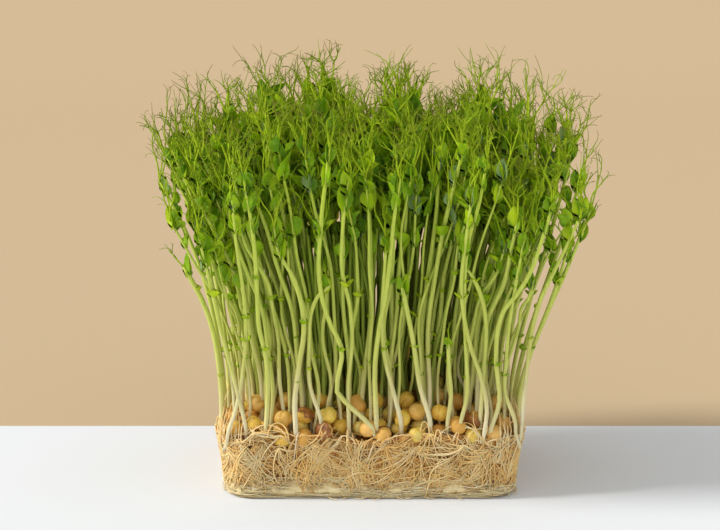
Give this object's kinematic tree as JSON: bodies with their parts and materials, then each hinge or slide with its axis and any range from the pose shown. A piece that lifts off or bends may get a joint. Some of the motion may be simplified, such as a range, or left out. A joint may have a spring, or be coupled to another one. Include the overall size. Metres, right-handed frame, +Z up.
{
  "type": "pea shoot microgreens on a root mat",
  "caption": "Block of pea shoots: a rectangular mat of matted roots, a bed of sprouted peas on it, and upright stems with paired leaves and branched tendrils.",
  "frame": {"origin": "centre of the flat underside of the root mat", "axes": "+Z up along the stems, +X along the mat's wide side, -Y out of the front face that the picture shows"},
  "size_m": [0.2137, 0.1565, 0.2091],
  "materials": {
    "root_fibre": "matted pale straw root fibres",
    "pea_seed": "smooth dull skin of sprouted yellow peas",
    "pea_shoot": "fresh green stems, leaves and tendrils, slightly waxy"
  },
  "bodies": {
    "root": {"root_mat": "root_fibre", "pea_bed": "pea_seed", "shoots_01": "pea_shoot", "shoots_02": "pea_shoot", "shoots_03": "pea_shoot", "shoots_04": "pea_shoot", "shoots_05": "pea_shoot", "shoots_06": "pea_shoot", "shoots_07": "pea_shoot", "shoots_08": "pea_shoot", "shoots_09": "pea_shoot", "shoots_10": "pea_shoot", "shoots_11": "pea_shoot", "shoots_12": "pea_shoot", "shoots_13": "pea_shoot", "shoots_14": "pea_shoot", "shoots_15": "pea_shoot", "shoots_16": "pea_shoot", "shoots_17": "pea_shoot", "shoots_18": "pea_shoot", "shoots_19": "pea_shoot", "shoots_20": "pea_shoot", "shoots_21": "pea_shoot", "shoots_22": "pea_shoot", "shoots_23": "pea_shoot", "shoots_24": "pea_shoot", "shoots_25": "pea_shoot", "shoots_26": "pea_shoot", "shoots_27": "pea_shoot", "shoots_28": "pea_shoot", "shoots_29": "pea_shoot", "shoots_30": "pea_shoot", "shoots_31": "pea_shoot", "shoots_32": "pea_shoot", "shoots_33": "pea_shoot", "shoots_34": "pea_shoot", "shoots_35": "pea_shoot", "shoots_36": "pea_shoot", "shoots_37": "pea_shoot", "shoots_38": "pea_shoot", "shoots_39": "pea_shoot", "shoots_40": "pea_shoot", "shoots_41": "pea_shoot", "shoots_42": "pea_shoot", "shoots_43": "pea_shoot", "shoots_44": "pea_shoot", "shoots_45": "pea_shoot", "shoots_46": "pea_shoot", "shoots_47": "pea_shoot", "shoots_48": "pea_shoot"}
  },
  "joints": []
}
